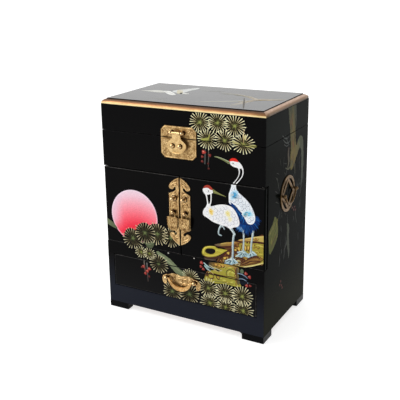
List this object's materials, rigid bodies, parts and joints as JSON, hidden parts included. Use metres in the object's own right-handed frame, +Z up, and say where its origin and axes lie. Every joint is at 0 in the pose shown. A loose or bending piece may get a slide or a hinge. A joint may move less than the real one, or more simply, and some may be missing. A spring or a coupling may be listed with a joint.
{
  "type": "jewelry armoire",
  "caption": "Table-top lacquered jewelry armoire with a lift-up mirror lid over a ring tray, hinged doors over small drawers, and a wide drawer above bracket feet.",
  "frame": {"origin": "middle of the footprint's bounding box, on the surface the feet stand on", "axes": "+Z up, -Y out of the front with the doors, +X to the right seen from the front"},
  "size_m": [0.2566, 0.1636, 0.3076],
  "materials": {
    "black_lacquer": "gloss black lacquer on wood with hand-painted decoration",
    "top_lacquer": "gloss black lacquer",
    "lined_board": "board covered with red velvet",
    "red_velvet": "padded red velvet",
    "plain_wood": "black-stained wood",
    "gold_paint": "gold paint on a wooden moulding",
    "brass": "aged etched brass",
    "steel": "drawn wire",
    "mirror_glass": "silvered glass"
  },
  "bodies": {
    "case": {"side_panels": "black_lacquer", "back_panel": "black_lacquer", "tray_front_panel": "black_lacquer", "tray_floor": "lined_board", "base_top_board": "lined_board", "base_top_rail": "black_lacquer", "apron": "black_lacquer", "base_stiles": "black_lacquer", "base_floor": "black_lacquer", "bracket_feet": "black_lacquer", "bay_uprights": "black_lacquer", "bay_shelves": "black_lacquer", "drawer_runners": "plain_wood", "tray_dividers": "lined_board", "ring_cushion": "red_velvet", "hasp_lower_plate": "brass", "hasp_lower_nails": "brass", "case_hinge_leaves": "brass", "hinge_pins": "steel", "door_pivots": "steel", "door_stop_pins": "steel", "side_plates": "brass", "side_posts": "brass"},
    "lid": {"lid_front_board": "black_lacquer", "lid_back_board": "black_lacquer", "lid_side_boards": "black_lacquer", "lid_top_panel": "top_lacquer", "lid_moulding": "gold_paint", "lid_mirror": "mirror_glass", "hasp_upper_plate": "brass", "hasp_upper_nails": "brass", "hasp_eyelets": "brass", "hasp_pin": "brass", "lid_hinge_leaves": "brass"},
    "hasp": {"hasp_tongue": "brass", "hasp_studs": "brass"},
    "door_left": {"door_left_panel": "black_lacquer", "lock_plate_left": "brass", "lock_posts_left": "brass"},
    "door_right": {"door_right_panel": "black_lacquer", "lock_plate_right": "brass", "lock_posts_right": "brass"},
    "pull_left": {"pendant_left": "brass"},
    "pull_right": {"pendant_right": "brass"},
    "wide_drawer": {"drawer_front": "black_lacquer", "drawer_walls": "plain_wood", "drawer_bottom": "lined_board", "drawer_plate": "brass", "drawer_posts": "brass"},
    "wide_drawer_handle": {"drawer_bail": "brass"},
    "handle_left": {"side_bail_left": "brass"},
    "handle_right": {"side_bail_right": "brass"},
    "small_drawer_left_upper": {"inner_drawer_lu": "black_lacquer", "inner_knob_lu": "brass"},
    "small_drawer_left_lower": {"inner_drawer_ll": "black_lacquer", "inner_knob_ll": "brass"},
    "small_drawer_right_upper": {"inner_drawer_ru": "black_lacquer", "inner_knob_ru": "brass"},
    "small_drawer_right_lower": {"inner_drawer_rl": "black_lacquer", "inner_knob_rl": "brass"}
  },
  "joints": [
    {"name": "lid_hinge", "type": "hinge", "parent": "case", "child": "lid", "pos_m": [0, 0.0796, 0.2643], "axis": [-1, 0, 0], "range_deg": [0, 100]},
    {"name": "hasp_hinge", "type": "hinge", "parent": "lid", "child": "hasp", "pos_m": [0, -0.078, 0.2718], "axis": [-1, 0, 0], "range_deg": [0, 140]},
    {"name": "door_left_hinge", "type": "hinge", "parent": "case", "child": "door_left", "pos_m": [-0.1165, -0.0664, 0.1573], "axis": [0, 0, -1], "range_deg": [0, 105]},
    {"name": "door_right_hinge", "type": "hinge", "parent": "case", "child": "door_right", "pos_m": [0.1165, -0.0664, 0.1573], "axis": [0, 0, 1], "range_deg": [0, 105]},
    {"name": "pull_left_hinge", "type": "hinge", "parent": "door_left", "child": "pull_left", "pos_m": [-0.009, -0.0764, 0.1631], "axis": [-1, 0, 0], "range_deg": [0, 80]},
    {"name": "pull_right_hinge", "type": "hinge", "parent": "door_right", "child": "pull_right", "pos_m": [0.009, -0.0764, 0.1631], "axis": [-1, 0, 0], "range_deg": [0, 80]},
    {"name": "wide_drawer_slide", "type": "slide", "parent": "case", "child": "wide_drawer", "axis": [0, -1, 0], "range_m": [0, 0.1]},
    {"name": "wide_drawer_handle_hinge", "type": "hinge", "parent": "wide_drawer", "child": "wide_drawer_handle", "pos_m": [0, -0.076, 0.0662], "axis": [-1, 0, 0], "range_deg": [0, 95]},
    {"name": "handle_left_hinge", "type": "hinge", "parent": "case", "child": "handle_left", "pos_m": [-0.126, 0.003, 0.1873], "axis": [0, 1, 0], "range_deg": [0, 95]},
    {"name": "handle_right_hinge", "type": "hinge", "parent": "case", "child": "handle_right", "pos_m": [0.126, 0.003, 0.1873], "axis": [0, -1, 0], "range_deg": [0, 95]},
    {"name": "small_drawer_left_upper_slide", "type": "slide", "parent": "case", "child": "small_drawer_left_upper", "axis": [0, -1, 0], "range_m": [0, 0.0258]},
    {"name": "small_drawer_left_lower_slide", "type": "slide", "parent": "case", "child": "small_drawer_left_lower", "axis": [0, -1, 0], "range_m": [0, 0.0368]},
    {"name": "small_drawer_right_upper_slide", "type": "slide", "parent": "case", "child": "small_drawer_right_upper", "axis": [0, -1, 0], "range_m": [0, 0.0258]},
    {"name": "small_drawer_right_lower_slide", "type": "slide", "parent": "case", "child": "small_drawer_right_lower", "axis": [0, -1, 0], "range_m": [0, 0.0368]}
  ],
  "couplings": [
    {"joint": "small_drawer_left_upper_slide", "follows": "door_left_hinge", "m_per_rad": 0.014},
    {"joint": "small_drawer_left_lower_slide", "follows": "door_left_hinge", "m_per_rad": 0.02},
    {"joint": "small_drawer_right_upper_slide", "follows": "door_right_hinge", "m_per_rad": 0.014},
    {"joint": "small_drawer_right_lower_slide", "follows": "door_right_hinge", "m_per_rad": 0.02}
  ]
}
